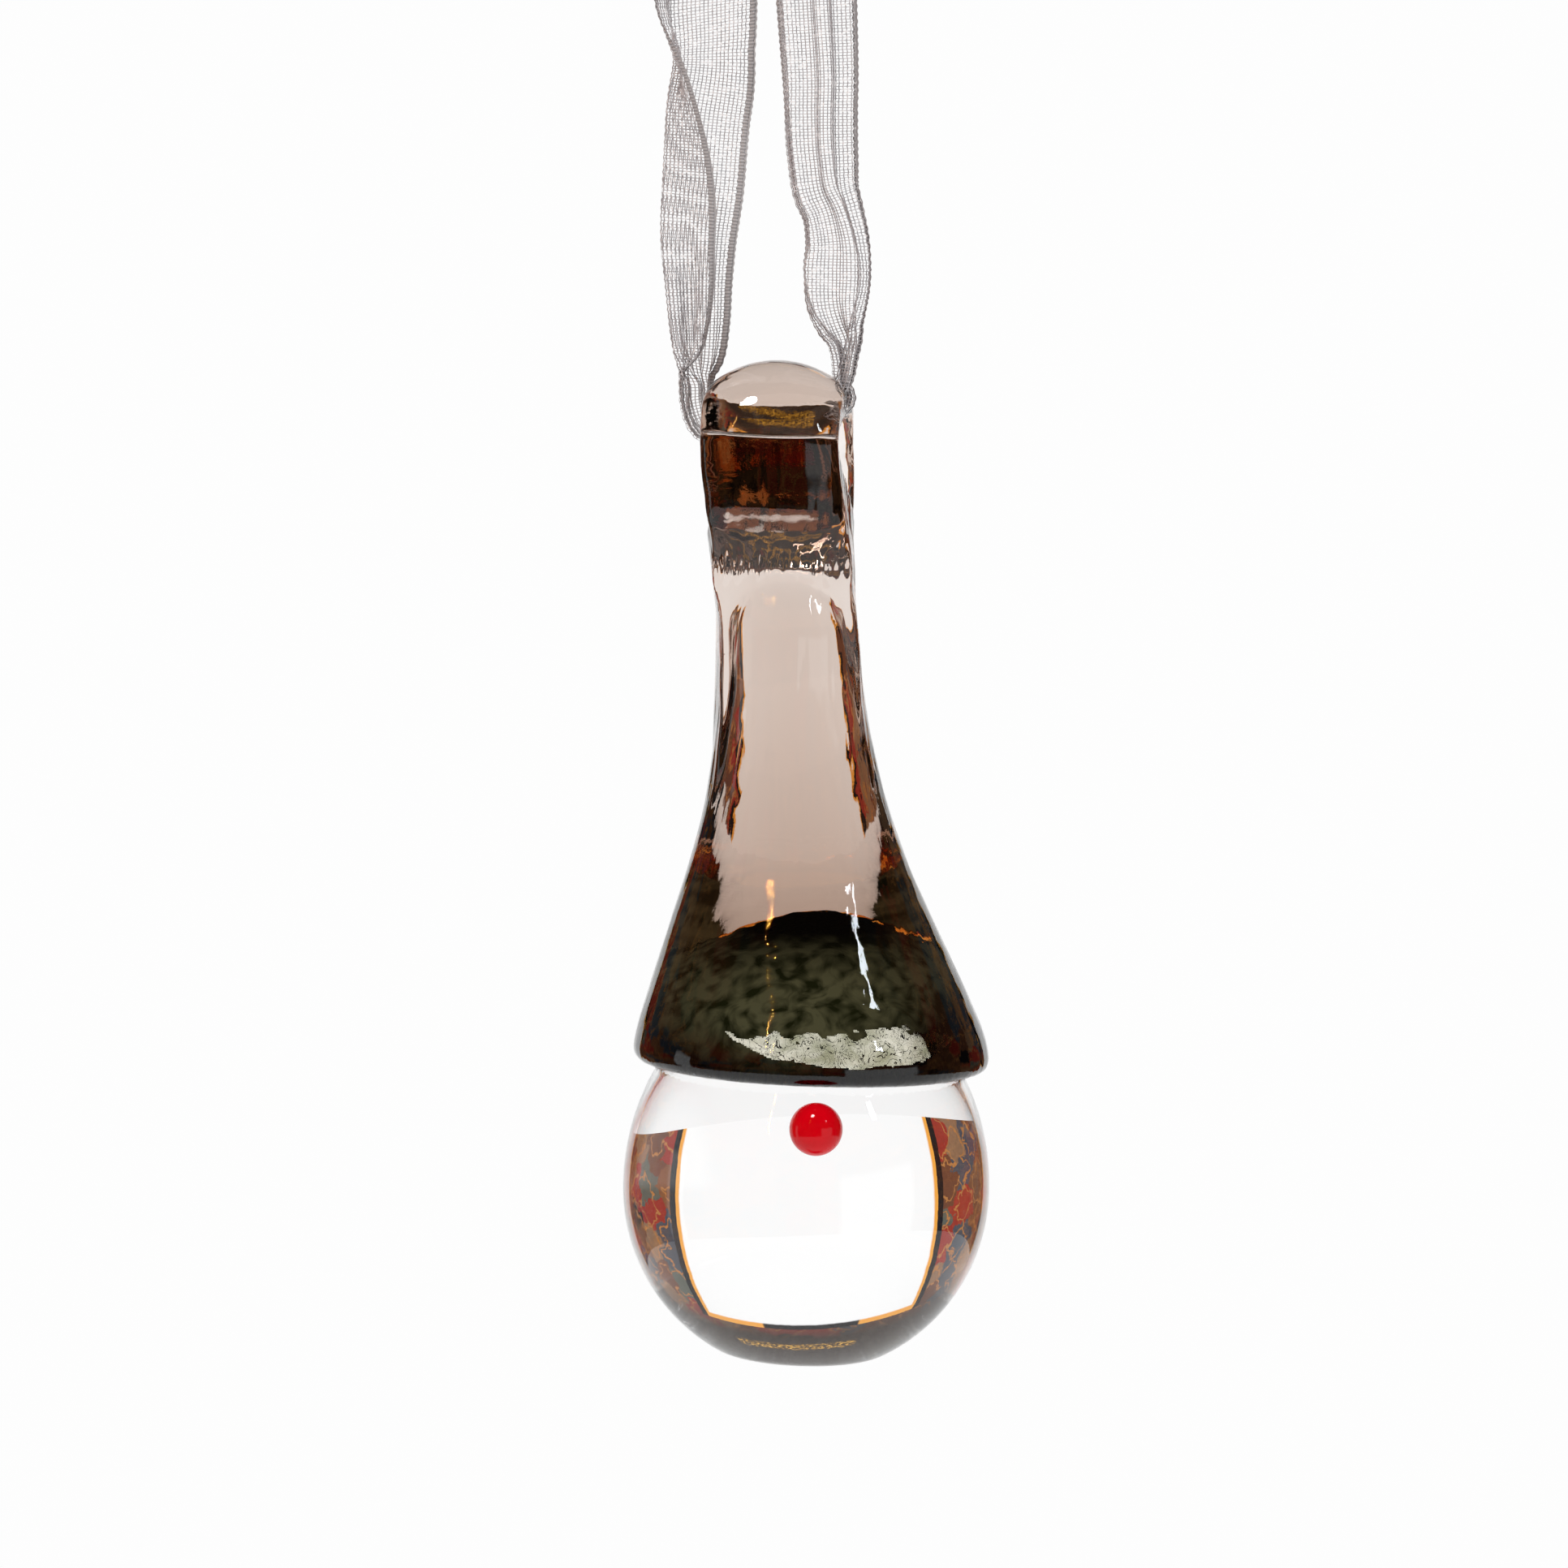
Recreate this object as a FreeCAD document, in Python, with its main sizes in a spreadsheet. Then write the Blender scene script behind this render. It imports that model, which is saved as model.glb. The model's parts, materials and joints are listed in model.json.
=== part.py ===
import FreeCAD, Part
import math
import os

import Sketcher
from FreeCAD import Placement, Rotation, Vector

# Glass gnome ornament hanging on a loop of organza ribbon.
#
# Row frame: millimetres, +Z up, -Y to the front, +X to the right of someone looking at the nose.
# The origin is the hanging point: the inside of the ribbon loop's apex, just under the knot.
# The three glass pieces are drawn in the glass's own frame (base level, head centre at the origin) and
# then leaned and lowered to where they hang. The ribbon is drawn in the row frame.

os.makedirs("parts", exist_ok=True)
doc = FreeCAD.newDocument("GlassGnomeOrnament")

# ---------------------------------------------------------------- driving dimensions
DIMENSIONS = {
    # clear head: a round gather, an ellipsoid above its equator and nearly a sphere below, cut flat
    "head_width": 27.4,
    "head_depth": 27.0,
    "head_rise": 15.9,
    "head_drop": 13.9,
    "equator_height": 0.8,
    "base_drop": 12.0,
    "base_fillet": 0.6,
    # red bead
    "nose_width": 3.9,
    "nose_depth": 3.6,
    "nose_height": 7.0,
    "nose_offset": 0.4,
    "nose_front": 12.9,
    # hat: skirt and neck
    "dome_gap": 0.05,
    # hat: strap and loop
    "strap_width": 10.2,
    "strap_thickness": 3.5,
    "arch_radius": 4.3,
    "arch_centre": 56.35,
    # how the glass hangs
    "lean": 4.2,
    "head_below_hook": 127.0,
    "plumb_shift": -0.25,
    # ribbon
    "bundle": 2.4,
    "bundle_clearance": 0.18,
    "eye_middle": -4.6,
    "bight_left": 6.9,
    "bight_right": 7.0,
    "bight_bend": 1.6,
    "bight_rise": 0.8,
    "strand_width": 4.6,
    "strand_depth": 2.2,
    "strand_spread": 4.7,
    "knot_width": 6.4,
    "knot_depth": 4.6,
    "knot_height": 5.6,
    "knot_gap": 0.3,
    "tail_width": 9.2,
    "tail_thickness": 0.9,
    "tail_length": 15.0,
    "tail_angle": 24.0,
    "tail_aside": 1.1,
    "tail_lift": 0.8,
}

sheet = doc.addObject("Spreadsheet::Sheet", "Dims")
for row, (alias, value) in enumerate(DIMENSIONS.items(), start=1):
    sheet.set(f"A{row}", alias)
    sheet.set(f"B{row}", str(value))
    sheet.setAlias(f"B{row}", alias)
doc.recompute()

# Skirt and neck sections: (name, height, width, depth, centre x, centre y).
# The skirt flares like a bell and the neck drifts to one side, as hand-drawn glass does.
SKIRT_SECTIONS = [
    ("underside", 10.0, 24.3, 23.5, 0.0, 0.0),
    ("lip", 10.9, 25.7, 24.9, 0.0, 0.0),
    ("brim", 12.3, 26.1, 25.1, -0.05, 0.0),
    ("low_skirt", 16.0, 23.5, 21.4, -0.35, 0.0),
    ("mid_skirt", 20.5, 19.9, 16.6, -0.85, 0.0),
    ("high_skirt", 25.5, 16.0, 12.6, -1.4, 0.0),
    ("low_neck", 31.0, 12.7, 9.8, -1.85, 0.0),
    ("mid_neck", 37.5, 10.5, 7.9, -2.3, -0.1),
    ("high_neck", 43.5, 9.95, 7.6, -2.95, -0.1),
    ("weld", 50.4, 10.1, 9.6, -3.95, 0.0),
]

# Strap sections along the folded loop: (name, turn over the arch in degrees, drop below the arch's
# centre, inset towards the neck, sideways offset). 0 degrees is the front leg and 180 the tail.
STRAP_SECTIONS = [
    ("front_foot", 0, 10.4, 2.1, -3.3),
    ("front_leg", 0, 5.0, 0.25, -4.1),
    ("front_top", 0, 0.5, 0.0, -4.75),
    ("arch_front", 45, 0.0, 0.0, -4.8),
    ("arch_top", 90, 0.0, 0.0, -4.6),
    ("arch_back", 135, 0.0, 0.0, -4.15),
    ("tail_top", 180, 0.5, 0.0, -3.8),
    ("tail_leg", 180, 5.0, 0.15, -3.55),
    ("tail_foot", 180, 9.2, 0.8, -3.4),
]

# Ribbon strand sections above the eye: (fraction of the way up to the knot, sideways fraction of the
# strand's spread, width factor, depth factor)
STRAND_SECTIONS = [
    (0.09, 1.40, 0.62, 1.0),
    (0.24, 1.12, 0.95, 1.0),
    (0.42, 1.02, 1.05, 1.2),
    (0.66, 0.98, 1.00, 1.1),
    (0.84, 0.72, 0.80, 1.0),
    (1.00, 0.27, 0.48, 1.0),
]

# Knot sections: (fraction of its height, size factor)
KNOT_SECTIONS = [(0.0, 0.72), (0.35, 1.0), (0.7, 0.97), (1.0, 0.66)]

# Tail sections: (fraction of its length, width factor, thickness factor)
TAIL_SECTIONS = [(0.0, 0.38, 1.0), (0.4, 0.82, 0.95), (1.0, 1.0, 0.7)]


def value_of(size):
    """Return a size that is either a number or the name of one of the sheet's cells."""
    return getattr(sheet, size.removeprefix("Dims.")) if isinstance(size, str) else size


def plane(body, role):
    """Return the body's own origin plane of the given role."""
    return next(f for f in body.Origin.OriginFeatures if f.Role == role)


def new_body(name):
    """Make a body whose label names its exported file."""
    body = doc.addObject("PartDesign::Body", name)
    body.Label = name
    return body


def ellipse_section(body, name, width, depth, place, turn=0.0):
    """Sketch an ellipse, width along X and depth along Y, at place, tipped back about X by turn degrees."""
    sketch = body.newObject("Sketcher::SketchObject", name)
    sketch.AttachmentSupport = (plane(body, "XY_Plane"), [""])
    sketch.MapMode = "FlatFace"
    sketch.AttachmentOffset = Placement(Vector(*place), Rotation(Vector(1, 0, 0), -turn))
    across = Vector(value_of(width) / 2, 0, 0)
    fore = Vector(0, value_of(depth) / 2, 0)
    sketch.addGeometry(Part.Ellipse(across, fore, Vector(0, 0, 0)), False)
    sketch.exposeInternalGeometry(0)
    sketch.addConstraint(Sketcher.Constraint("Coincident", 0, 3, -1, 1))
    sketch.addConstraint(Sketcher.Constraint("Horizontal", 1))
    for line, label, size in ((1, "width", width), (2, "depth", depth)):
        index = sketch.addConstraint(Sketcher.Constraint("Distance", line, value_of(size)))
        sketch.renameConstraint(index, label)
        sketch.setExpression(f"Constraints.{label}", str(size))
    return sketch


def loft(body, name, sections):
    """Loft the body's sections into one additive feature."""
    feature = body.newObject("PartDesign::AdditiveLoft", name)
    feature.Profile = sections[0]
    feature.Sections = sections[1:]
    feature.Ruled = False
    return feature


def ellipsoid(body, name, kind, sizes, place, angles=(-90, 90)):
    """Add or remove an ellipsoid whose three radii (up, side, fore) and centre are expressions."""
    feature = body.newObject(f"PartDesign::{kind}Ellipsoid", name)
    feature.AttachmentSupport = (plane(body, "XY_Plane"), [""])
    feature.MapMode = "FlatFace"
    for index, size in enumerate(sizes, start=1):
        feature.setExpression(f"Radius{index}", size)
    for axis, value in zip("xyz", place):
        feature.setExpression(f"AttachmentOffset.Base.{axis}", str(value))
    for index, angle in enumerate(angles, start=1):
        feature.setExpression(f"Angle{index}", str(angle))
    return feature


def hang(body):
    """Lean the glass about Y and lower it under the hanging point."""
    body.Placement = Placement(Vector(0, 0, 0), Rotation(Vector(0, 1, 0), 1))
    body.setExpression("Placement.Rotation.Angle", "Dims.lean")
    body.setExpression("Placement.Base.x", "Dims.plumb_shift")
    body.setExpression("Placement.Base.z", "-Dims.head_below_hook")


# ---------------------------------------------------------------- clear head
HEAD_SIDE = "Dims.head_width / 2"
HEAD_FORE = "Dims.head_depth / 2"


def make_head():
    """Clear glass head: the domed upper half, and the lower half ground off to the flat base."""
    body = new_body("clear_body")
    centre = (0, 0, "Dims.equator_height")
    ellipsoid(body, "LowerHalf", "Additive", ("Dims.head_drop", HEAD_SIDE, HEAD_FORE), centre, (-90, 0))
    ellipsoid(body, "UpperHalf", "Additive", ("Dims.head_rise", HEAD_SIDE, HEAD_FORE), centre, (0, 90))
    doc.recompute()

    before = body.Shape.Volume
    cut = body.newObject("Sketcher::SketchObject", "BaseOutline")
    cut.AttachmentSupport = (plane(body, "XY_Plane"), [""])
    cut.MapMode = "FlatFace"
    cut.setExpression("AttachmentOffset.Base.z", "-Dims.base_drop")
    cut.addGeometry(Part.Circle(Vector(0, 0, 0), Vector(0, 0, 1), sheet.head_width), False)
    cut.addConstraint(Sketcher.Constraint("Coincident", 0, 3, -1, 1))
    reach = cut.addConstraint(Sketcher.Constraint("Radius", 0, sheet.head_width))
    cut.setExpression(f"Constraints[{reach}]", "Dims.head_width")
    grind = body.newObject("PartDesign::Pocket", "GroundBase")
    grind.Profile = cut
    grind.Type = "ThroughAll"
    body.Tip = grind
    doc.recompute()
    assert before / 2 < body.Shape.Volume < before - 10, "the base is ground on the wrong side"

    rim_edge = min(range(len(body.Shape.Edges)), key=lambda i: body.Shape.Edges[i].CenterOfMass.z)
    rim = body.newObject("PartDesign::Fillet", "BaseRim")
    rim.Base = (grind, [f"Edge{rim_edge + 1}"])
    rim.setExpression("Radius", "Dims.base_fillet")
    body.Tip = rim
    return body


# ---------------------------------------------------------------- red nose
def make_nose():
    """Red bead: a drop of glass whose back takes the curve of the head that it is fused to."""
    body = new_body("nose")
    ellipsoid(body, "Bead", "Additive", ("Dims.nose_width / 2", "Dims.nose_width / 2", "Dims.nose_depth / 2"),
              ("Dims.nose_offset", "-Dims.nose_front", "Dims.nose_height"))
    ellipsoid(body, "Seat", "Subtractive", ("Dims.head_rise", HEAD_SIDE, HEAD_FORE),
              (0, 0, "Dims.equator_height"))
    return body


# ---------------------------------------------------------------- smoked hat
def make_hat():
    """Hat, neck and folded hanging loop, with the head's dome hollowed out of its underside."""
    body = new_body("hat")
    skirt = [ellipse_section(body, f"Skirt_{name}", width, depth, (x, y, height))
             for name, height, width, depth, x, y in SKIRT_SECTIONS]
    loft(body, "Skirt", skirt)
    doc.recompute()

    strap = []
    for name, turn, drop, inset, x in STRAP_SECTIONS:
        angle = math.radians(turn)
        leg = sheet.arch_radius - inset
        place = (x, -leg * math.cos(angle), sheet.arch_centre - drop + leg * math.sin(angle))
        strap.append(ellipse_section(body, f"Strap_{name}", "Dims.strap_width", "Dims.strap_thickness",
                                     place, turn))
    loft(body, "FoldedStrap", strap)
    doc.recompute()

    before = body.Shape.Volume
    ellipsoid(body, "DomeHollow", "Subtractive",
              ("Dims.head_rise + Dims.dome_gap", f"{HEAD_SIDE} + Dims.dome_gap", f"{HEAD_FORE} + Dims.dome_gap"),
              (0, 0, "Dims.equator_height"))
    doc.recompute()
    assert body.Shape.Volume < before - 100, "the dome hollow removed nothing"
    return body


# ---------------------------------------------------------------- ribbon
def eye_in_row():
    """Centre of the ribbon bundle under the arch, in the row frame."""
    lean = math.radians(sheet.lean)
    inside_top = sheet.arch_centre + sheet.arch_radius - sheet.strap_thickness / 2
    up = inside_top - sheet.bundle_clearance - sheet.bundle / 2
    x = sheet.plumb_shift + sheet.eye_middle * math.cos(lean) + up * math.sin(lean)
    z = -sheet.head_below_hook - sheet.eye_middle * math.sin(lean) + up * math.cos(lean)
    return x, z


def bight_spine(body, left, right, height):
    """Sketch the bundle's path under the arch: down beside the strap, through the eye, and up again."""
    bend = sheet.bight_bend
    top = height + bend + sheet.bight_rise
    sketch = body.newObject("Sketcher::SketchObject", "BightPath")
    sketch.AttachmentSupport = (plane(body, "XZ_Plane"), [""])
    sketch.MapMode = "FlatFace"
    edge = math.sqrt(0.5) * bend
    corners = [
        Part.LineSegment(Vector(left, top, 0), Vector(left, height + bend, 0)),
        Part.Arc(Vector(left, height + bend, 0), Vector(left + bend - edge, height + bend - edge, 0),
                 Vector(left + bend, height, 0)),
        Part.LineSegment(Vector(left + bend, height, 0), Vector(right - bend, height, 0)),
        Part.Arc(Vector(right - bend, height, 0), Vector(right - bend + edge, height + bend - edge, 0),
                 Vector(right, height + bend, 0)),
        Part.LineSegment(Vector(right, height + bend, 0), Vector(right, top, 0)),
    ]
    for curve in corners:
        sketch.addGeometry(curve, False)
    return sketch, top


def make_ribbon_loop():
    """Bight through the eye and the two strands up to the knot, as one bunched strip."""
    body = new_body("ribbon_loop")
    middle, height = eye_in_row()
    left = middle - sheet.bight_left
    right = middle + sheet.bight_right
    spine, foot = bight_spine(body, left, right, height)
    ends = [ellipse_section(body, f"{side}Foot", "Dims.bundle", sheet.bundle - 0.02, (x, 0, foot))
            for side, x in (("Left", left), ("Right", right))]
    bight = body.newObject("PartDesign::AdditivePipe", "Bight")
    bight.Profile = ends[0]
    bight.Spine = spine
    for side, end, start in (("Left", ends[0], left), ("Right", ends[1], right)):
        sign = math.copysign(1, start - middle)
        sections = [end]
        for rise, aside, wide, deep in STRAND_SECTIONS:
            place = (sign * aside * sheet.strand_spread, 0, foot * (1 - rise))
            sections.append(ellipse_section(body, f"{side}Strand{round(rise * 100)}", wide * sheet.strand_width,
                                            deep * sheet.strand_depth, place))
        loft(body, f"{side}Strand", sections)
    return body


def make_knot():
    """Overhand knot in the two ribbon ends, as one lump with a flat underside."""
    body = new_body("ribbon_knot")
    sections = [ellipse_section(body, f"Knot{index}", wide * sheet.knot_width, wide * sheet.knot_depth,
                                (0, 0, sheet.knot_gap + rise * sheet.knot_height))
                for index, (rise, wide) in enumerate(KNOT_SECTIONS)]
    loft(body, "Knot", sections)
    return body


def make_tail(name, side):
    """One cut end of the ribbon above the knot, fanning out as it rises."""
    body = new_body(name)
    sections = [ellipse_section(body, f"{name}_{index}", wide * sheet.tail_width, deep * sheet.tail_thickness,
                                (0, 0, rise * sheet.tail_length))
                for index, (rise, wide, deep) in enumerate(TAIL_SECTIONS)]
    loft(body, f"{name}_strip", sections)
    top = sheet.knot_gap + sheet.knot_height + sheet.tail_lift
    body.Placement = Placement(Vector(side * sheet.tail_aside, -side * sheet.tail_thickness, top),
                               Rotation(Vector(0, 1, 0), side * sheet.tail_angle))
    return body


# ---------------------------------------------------------------- build, check and write
glass = [make_head(), make_hat(), make_nose()]
for piece in glass:
    hang(piece)
ribbon = [make_ribbon_loop(), make_knot(), make_tail("ribbon_tail_left", -1), make_tail("ribbon_tail_right", 1)]
doc.recompute()

for obj in doc.Objects:
    failed = {"Invalid", "Error"} & set(obj.State)
    if failed:
        raise RuntimeError(f"{obj.Label} failed: {failed}")

for node in glass + ribbon:
    shape = node.Shape
    if shape.isNull() or not shape.isValid() or len(shape.Solids) != 1:
        raise RuntimeError(f"{node.Label} is not one valid solid")
    shape.exportStep(f"parts/{node.Label}.step")
    print(f"{node.Label}: {shape.Volume:.1f} mm3")

solids = [piece.Shape.Solids[0] for piece in glass]
balance = sum((solid.CenterOfMass * solid.Volume for solid in solids), Vector()) / sum(s.Volume for s in solids)
print("centre of gravity of the glass:", balance)
print("eye of the loop, X and Z:", eye_in_row())
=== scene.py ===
import json
import math

import bpy
import numpy as np
from mathutils import Matrix, Quaternion, Vector


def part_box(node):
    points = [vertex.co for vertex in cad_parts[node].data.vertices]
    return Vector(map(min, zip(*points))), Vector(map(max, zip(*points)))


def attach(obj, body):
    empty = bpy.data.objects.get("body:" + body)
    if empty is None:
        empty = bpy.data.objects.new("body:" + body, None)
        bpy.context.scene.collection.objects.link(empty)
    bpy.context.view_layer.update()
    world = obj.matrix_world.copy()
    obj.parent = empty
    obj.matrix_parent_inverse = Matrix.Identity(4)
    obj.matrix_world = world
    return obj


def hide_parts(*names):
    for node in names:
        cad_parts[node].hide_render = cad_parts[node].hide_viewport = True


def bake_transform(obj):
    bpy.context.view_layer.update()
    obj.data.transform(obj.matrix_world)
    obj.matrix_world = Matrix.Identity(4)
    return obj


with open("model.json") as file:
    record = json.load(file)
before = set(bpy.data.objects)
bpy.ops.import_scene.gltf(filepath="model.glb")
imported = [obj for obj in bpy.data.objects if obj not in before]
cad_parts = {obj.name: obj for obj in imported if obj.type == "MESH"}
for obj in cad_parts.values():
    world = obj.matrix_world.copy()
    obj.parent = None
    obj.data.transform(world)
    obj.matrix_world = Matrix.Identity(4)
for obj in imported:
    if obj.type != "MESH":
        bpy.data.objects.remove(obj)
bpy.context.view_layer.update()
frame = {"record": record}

# Glass gnome ornament on an organza ribbon.
# Lengths are millimetres until a mesh is made; MM turns them to metres.
MM = 0.001
RECORD = frame["record"]
SEED = 7

# ------------------------------------------------------------------ the glass's own frame
# The base face's mount says how far the glass leans and where it hangs. In the glass's own frame the base
# is level, the head's centre is the origin and the base is BASE_DROP below it.
BASE_DROP = 12.0
MOUNTS = {mount["name"]: mount for mount in RECORD["mounts"]}
BASE = MOUNTS["base_face"]
LEAN = math.atan2(-BASE["axis"][0], -BASE["axis"][2])
TURN = np.array(Matrix.Rotation(LEAN, 3, "Y"))
HEAD_AT = np.array(BASE["pos_m"]) / MM + TURN @ np.array([0, 0, BASE_DROP])


def to_row(points):
    """Points of the glass's own frame, in the row frame."""
    return points @ TURN.T + HEAD_AT


# ------------------------------------------------------------------ small mesh tools
def make_object(name, verts, faces, uvs=None, normals=None):
    """A smooth-shaded mesh object from points in row millimetres."""
    mesh = bpy.data.meshes.new(name)
    mesh.from_pydata((np.asarray(verts) * MM).tolist(), [], np.asarray(faces).tolist())
    mesh.polygons.foreach_set("use_smooth", [True] * len(mesh.polygons))
    if uvs is not None:
        layer = mesh.uv_layers.new(name="UVMap")
        corners = np.empty(len(mesh.loops), dtype=np.int32)
        mesh.loops.foreach_get("vertex_index", corners)
        layer.data.foreach_set("uv", np.asarray(uvs, dtype=np.float32)[corners].ravel())
    mesh.update()
    if normals is not None:
        mesh.normals_split_custom_set_from_vertices(normals.tolist())
    obj = bpy.data.objects.new(name, mesh)
    bpy.context.scene.collection.objects.link(obj)
    return obj


def grid_faces(rows, columns, wrap=False):
    """Quads of a rows by columns grid of points, closed across the columns if wrap."""
    across = columns if wrap else columns - 1
    i, j = np.meshgrid(np.arange(rows - 1), np.arange(across), indexing="ij")
    nxt = (j + 1) % columns
    quads = np.stack([i * columns + j, i * columns + nxt, (i + 1) * columns + nxt, (i + 1) * columns + j], -1)
    return quads.reshape(-1, 4)


def smooth_curve(stations, at):
    """Smooth curves through stations, read at the given positions. A station starts with its own position."""
    table = np.asarray(stations, float)
    x, y = table[:, 0], table[:, 1:]
    slope = np.gradient(y, x, axis=0)
    at = np.clip(np.asarray(at, float), x[0], x[-1])
    k = np.clip(np.searchsorted(x, at, side="right") - 1, 0, len(x) - 2)
    width = x[k + 1] - x[k]
    f = ((at - x[k]) / width)[..., None]
    width = width[..., None]
    return ((2 * f**3 - 3 * f**2 + 1) * y[k] + (f**3 - 2 * f**2 + f) * width * slope[k]
            + (3 * f**2 - 2 * f**3) * y[k + 1] + (f**3 - f**2) * width * slope[k + 1])


def turn_by(x):
    """Smooth step from 0 to 1."""
    x = np.clip(x, 0, 1)
    return x * x * (3 - 2 * x)


def rise_over(height, stretch):
    """Smooth step from 0 to 1 over a stretch, given as its start and its length."""
    return turn_by((height - stretch[0]) / stretch[1])


def smooth_min(a, b, blend):
    """The lower of two fields, rounded where they cross within blend."""
    h = np.clip(0.5 + 0.5 * (b - a) / blend, 0, 1)
    return b + (a - b) * h - blend * h * (1 - h)


def smooth_max(a, b, blend):
    """The higher of two fields, rounded where they cross within blend."""
    return -smooth_min(-a, -b, blend)


def gradient(field, points, step=0.02):
    """Slope of a field at points."""
    slopes = []
    for axis in np.eye(3) * step:
        slopes.append((field(points + axis) - field(points - axis)) / (2 * step))
    return np.stack(slopes, -1)


def onto_field(verts, value, slope, limit):
    """Points moved along a field's slope to where its value is zero, each by no more than limit."""
    reach = value[:, None] * slope / np.maximum((slope**2).sum(-1, keepdims=True), 1e-6)
    return verts - np.clip(reach, -limit, limit)


def skin_of(field, low, high, cell, relax=3):
    """Quad mesh of the surface where field is zero: a surface net, relaxed and drawn onto the surface."""
    low, high = np.asarray(low, float), np.asarray(high, float)
    count = np.ceil((high - low) / cell).astype(int) + 1
    axes = [low[k] + cell * np.arange(count[k]) for k in range(3)]
    grid = np.stack(np.meshgrid(*axes, indexing="ij"), -1)
    value = np.concatenate([field(slab.reshape(-1, 3)) for slab in grid]).reshape(count)
    inside = value < 0

    # One vertex in each cell that the surface crosses, at the mean of the crossings on its edges.
    total = np.zeros((*(count - 1), 3))
    hits = np.zeros(count - 1)
    edges = []
    for axis in range(3):
        a = np.moveaxis(value, axis, 0)
        sign = np.moveaxis(inside, axis, 0)
        place = np.moveaxis(grid, axis, 0)
        crossing = sign[:-1] != sign[1:]
        part = np.where(crossing, a[:-1] / np.where(crossing, a[:-1] - a[1:], 1), 0)[..., None]
        point = (place[:-1] + (place[1:] - place[:-1]) * part) * crossing[..., None]
        sums, number = np.moveaxis(total, axis, 0), np.moveaxis(hits, axis, 0)
        for j in (slice(None, -1), slice(1, None)):
            for k in (slice(None, -1), slice(1, None)):
                sums += point[:, j, k]
                number += crossing[:, j, k]
        edges.append((axis, crossing, sign[:-1]))

    used = hits > 0
    index = np.full(used.shape, -1)
    index[used] = np.arange(used.sum())
    verts = total[used] / hits[used][:, None]

    # One quad round each crossed edge of the grid.
    quads = []
    for axis, crossing, first_inside in edges:
        cells = np.moveaxis(index, axis, 0)
        inner = crossing[:, 1:-1, 1:-1]
        i, j, k = np.nonzero(inner)
        ring = np.stack([cells[i, j, k], cells[i, j + 1, k], cells[i, j + 1, k + 1], cells[i, j, k + 1]], -1)
        flip = first_inside[:, 1:-1, 1:-1][i, j, k]
        if axis == 1:
            flip = ~flip
        quads.append(np.where(flip[:, None], ring, ring[:, ::-1]))
    quads = np.concatenate(quads)

    # Even the mesh out, and pull it back onto the surface after each step.
    pairs = np.concatenate([quads[:, [0, 1]], quads[:, [1, 2]], quads[:, [2, 3]], quads[:, [3, 0]]])
    for step in range(relax + 2):
        if step < relax:
            near = np.zeros_like(verts)
            degree = np.zeros(len(verts))
            np.add.at(near, pairs[:, 0], verts[pairs[:, 1]])
            np.add.at(degree, pairs[:, 0], 1)
            verts = 0.5 * verts + 0.5 * near / degree[:, None]
        verts = onto_field(verts, field(verts), gradient(field, verts), cell)
    slope = gradient(field, verts)
    normals = slope / np.linalg.norm(slope, axis=-1, keepdims=True)
    return verts, quads, normals


# ------------------------------------------------------------------ shapes of the glass
HEAD_LOW, HEAD_HIGH = (np.array(corner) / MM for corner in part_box("clear_body"))
HEAD_FORE = (HEAD_HIGH[1] - HEAD_LOW[1]) / 2
HEAD_SIDE = 13.7
EQUATOR, HEAD_RISE, HEAD_FALL = 0.8, 16.0, 13.9
BASE_ROUND = 0.6

# Inside the hat the head ends in a blunt cone, with a thin film of air over it. Its skin is faintly dimpled
# from DIMPLE_START up.
SHOULDER, SHOULDER_RADIUS, SHOULDER_SLOPE = 9.4, 11.56, 0.2
CONE_TOP, CONE_SLOPE, CONE_BLUNT = 20.4, 0.95, 5.0
CONE_ROUND = 1.2
DIMPLE_HEIGHT, DIMPLE_START = 0.02, 10
AIR_FILM = 0.16

# The mottled lining in that film: (radius, height) down its side, and how far it stands off the air film.
LINING_PROFILE = [
    (0.0, 20.6),
    (2.0, 20.2),
    (4.5, 18.8),
    (7.0, 16.8),
    (9.3, 14.8),
    (10.6, 13.4),
    (11.1, 12.2),
    (11.3, 10.2),
]
LINING_STANDOFF = 0.06
# Its pale opening low in front (middle and half width in radians, top and bottom height), and the amber one
# behind its crown (from front to back, half width, bottom height).
OPENING_TURN, OPENING_HALF, OPENING_TOP, OPENING_BOTTOM = 0.22, 0.87, 13.5, 11.3
CROWN_FRONT, CROWN_BACK, CROWN_HALF, CROWN_BOTTOM = 0.8, 6.0, 5.2, 16

# Hat and neck: (height, half width, half depth, centre x, squareness of the section)
HAT_STATIONS = [
    (8.0, 13.6, 13.0, 0.0, 2.0),
    (12.3, 13.05, 12.5, -0.03, 2.0),
    (15.7, 11.86, 10.9, -0.33, 2.0),
    (20.2, 10.08, 9.0, -0.85, 2.0),
    (24.7, 8.33, 7.35, -1.33, 2.0),
    (29.3, 6.85, 6.4, -1.72, 2.0),
    (33.8, 5.83, 5.65, -2.03, 2.0),
    (38.3, 5.16, 5.1, -2.33, 2.0),
    (42.9, 4.98, 4.85, -2.87, 2.0),
    (46.6, 5.05, 3.75, -3.4, 2.1),
    (51.0, 5.15, 3.6, -4.1, 2.3),
]
UNDERSIDE = 9.9
LIP_ROUND = 1.5
NECK_TOP = 50.0
NECK_ROUND = 1.0

# The weld where the folded strap meets the neck: (start, length) of the heights over which its edge turns
# ragged and calms down again, how ragged it is, and how softly it blends.
WELD_RAGGED, WELD_CALM = (45.5, 1), (47.5, 1.5)
WELD_TEAR, WELD_BLEND = 0.22, 0.5

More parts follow.
